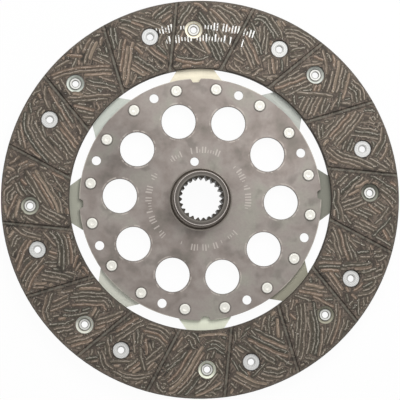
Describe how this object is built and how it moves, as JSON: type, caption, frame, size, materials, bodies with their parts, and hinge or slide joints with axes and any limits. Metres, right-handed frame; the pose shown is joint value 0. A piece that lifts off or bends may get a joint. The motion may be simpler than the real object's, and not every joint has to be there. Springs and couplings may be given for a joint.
{
  "type": "clutch disc",
  "caption": "Rigid clutch disc: two grooved friction facings riveted to waved spring segments around a pierced carrier plate with a splined hub.",
  "frame": {"origin": "on the axis of rotation, in the plane of the flywheel-side friction face, on which the disc lies flat", "axes": "+Z along the axis of rotation towards the gearbox and the hub's long nose; +X through the middle of cushion_segment_1"},
  "size_m": [0.228, 0.228, 0.021],
  "materials": {
    "friction_lining": "resin-bonded yarn lining, matt dark brown with copper-coloured strands",
    "plate_steel": "warm grey hardened sheet steel, matt",
    "spring_steel": "tempered spring steel, each segment a little different in tint",
    "bright_rivet": "bright plated steel rivets",
    "hub_steel": "turned and broached steel, dark, with a bright chamfer"
  },
  "bodies": {
    "root": {"hub": "hub_steel", "carrier_plate": "plate_steel", "gearbox_facing": "friction_lining", "flywheel_facing": "friction_lining", "cushion_segment_1": "spring_steel", "cushion_segment_2": "spring_steel", "cushion_segment_3": "spring_steel", "cushion_segment_4": "spring_steel", "cushion_segment_5": "spring_steel", "cushion_segment_6": "spring_steel", "cushion_segment_7": "spring_steel", "cushion_segment_8": "spring_steel", "segment_rivet_01": "bright_rivet", "segment_rivet_02": "bright_rivet", "segment_rivet_03": "bright_rivet", "segment_rivet_04": "bright_rivet", "segment_rivet_05": "bright_rivet", "segment_rivet_06": "bright_rivet", "segment_rivet_07": "bright_rivet", "segment_rivet_08": "bright_rivet", "segment_rivet_09": "bright_rivet", "segment_rivet_10": "bright_rivet", "segment_rivet_11": "bright_rivet", "segment_rivet_12": "bright_rivet", "segment_rivet_13": "bright_rivet", "segment_rivet_14": "bright_rivet", "segment_rivet_15": "bright_rivet", "segment_rivet_16": "bright_rivet", "gearbox_facing_rivet_1": "bright_rivet", "gearbox_facing_rivet_2": "bright_rivet", "gearbox_facing_rivet_3": "bright_rivet", "gearbox_facing_rivet_4": "bright_rivet", "gearbox_facing_rivet_5": "bright_rivet", "gearbox_facing_rivet_6": "bright_rivet", "gearbox_facing_rivet_7": "bright_rivet", "gearbox_facing_rivet_8": "bright_rivet", "flywheel_facing_rivet_1": "bright_rivet", "flywheel_facing_rivet_2": "bright_rivet", "flywheel_facing_rivet_3": "bright_rivet", "flywheel_facing_rivet_4": "bright_rivet", "flywheel_facing_rivet_5": "bright_rivet", "flywheel_facing_rivet_6": "bright_rivet", "flywheel_facing_rivet_7": "bright_rivet", "flywheel_facing_rivet_8": "bright_rivet"}
  },
  "joints": []
}
